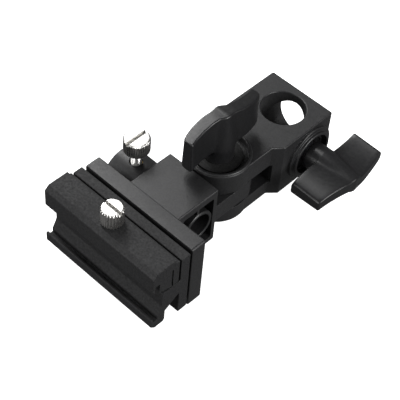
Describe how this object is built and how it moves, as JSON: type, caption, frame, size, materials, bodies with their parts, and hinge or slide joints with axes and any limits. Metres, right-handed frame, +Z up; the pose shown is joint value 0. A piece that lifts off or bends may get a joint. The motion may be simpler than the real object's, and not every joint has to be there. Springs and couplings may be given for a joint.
{
  "type": "umbrella swivel bracket",
  "caption": "Tilting light-stand bracket with a spigot socket, an umbrella shaft hole and a sliding-jaw flash shoe, locked by wing knobs and thumbscrews.",
  "frame": {"origin": "centre of the bounding box, on the plane the flange rests on", "axes": "+Z up along the tilt bolt, +Y from the flash shoe towards the stand socket, +X towards the stand knob"},
  "size_m": [0.0634, 0.1056, 0.0487],
  "materials": {
    "black_body": "black moulded plastic with a fine satin grain",
    "black_knob": "black moulded plastic, slightly glossier, lightly grained",
    "nickel": "bright nickel plate, knurled",
    "zinc_steel": "zinc plated steel",
    "black_steel": "blackened steel",
    "brass": "turned brass",
    "black_fibre": "black fibre washer",
    "nylon": "natural nylon",
    "black_rubber": "thin black rubber sheet"
  },
  "bodies": {
    "stand": {"stand_block": "black_body", "stand_nut": "black_steel", "tilt_bolt": "zinc_steel"},
    "holder": {"holder_body": "black_body", "friction_washer_top": "black_fibre", "friction_washer_bottom": "black_fibre", "umbrella_insert": "brass", "shoe_gasket": "black_rubber", "shoe_base": "black_body", "jaw_spring": "zinc_steel", "shoe_screw_left": "zinc_steel", "shoe_screw_right": "zinc_steel"},
    "jaw": {"shoe_jaw": "black_body"},
    "jaw_thumbscrew": {"jaw_screw": "nickel"},
    "stand_clamp_pad": {"stand_pad": "brass"},
    "stand_clamp_knob": {"stand_knob": "black_knob", "stand_knob_stud": "zinc_steel"},
    "tilt_clamp_washer": {"tilt_washer": "black_fibre"},
    "tilt_clamp_knob": {"tilt_knob": "black_knob", "tilt_knob_insert": "brass"},
    "umbrella_clamp_pad": {"umbrella_pad": "nylon"},
    "umbrella_thumbscrew": {"umbrella_screw": "nickel"}
  },
  "joints": [
    {"name": "holder_tilt", "type": "hinge", "parent": "stand", "child": "holder", "pos_m": [-0.0055, 0.0033, 0.0167], "axis": [0, 0, 1], "range_deg": [-85, 75]},
    {"name": "jaw_slide", "type": "slide", "parent": "holder", "child": "jaw", "axis": [0, 0, 1], "range_m": [0, 0.003], "deforming": ["jaw_spring"]},
    {"name": "jaw_screw_turn", "type": "hinge", "parent": "jaw", "child": "jaw_thumbscrew", "pos_m": [-0.006, -0.0464, 0.0321], "axis": [0, 0, 1], "range_deg": [-2, 2402]},
    {"name": "stand_pad_slide", "type": "slide", "parent": "stand", "child": "stand_clamp_pad", "axis": [1, 0, 0], "range_m": [-0.001, 0.002]},
    {"name": "stand_knob_turn", "type": "hinge", "parent": "stand_clamp_pad", "child": "stand_clamp_knob", "pos_m": [0.0112, 0.0356, 0.01685], "axis": [1, 0, 0], "range_deg": [-290, 578]},
    {"name": "tilt_washer_slide", "type": "slide", "parent": "stand", "child": "tilt_clamp_washer", "axis": [0, 0, 1], "range_m": [0, 0.003]},
    {"name": "tilt_knob_turn", "type": "hinge", "parent": "tilt_clamp_washer", "child": "tilt_clamp_knob", "pos_m": [-0.0055, 0.0033, 0.0287], "axis": [0, 0, 1], "range_deg": [-2, 1082]},
    {"name": "umbrella_pad_slide", "type": "slide", "parent": "holder", "child": "umbrella_clamp_pad", "axis": [0, 0, 1], "range_m": [-0.0014, 0.0021]},
    {"name": "umbrella_screw_turn", "type": "hinge", "parent": "umbrella_clamp_pad", "child": "umbrella_thumbscrew", "pos_m": [-0.0239, -0.0181, 0.0307], "axis": [0, 0, 1], "range_deg": [-722, 1082]}
  ],
  "couplings": [
    {"joint": "jaw_screw_turn", "follows": "jaw_slide", "rad_per_m": 13963},
    {"joint": "stand_knob_turn", "follows": "stand_pad_slide", "rad_per_m": 5026.5},
    {"joint": "tilt_knob_turn", "follows": "tilt_washer_slide", "rad_per_m": 6283.2},
    {"joint": "umbrella_screw_turn", "follows": "umbrella_pad_slide", "rad_per_m": 8976}
  ]
}
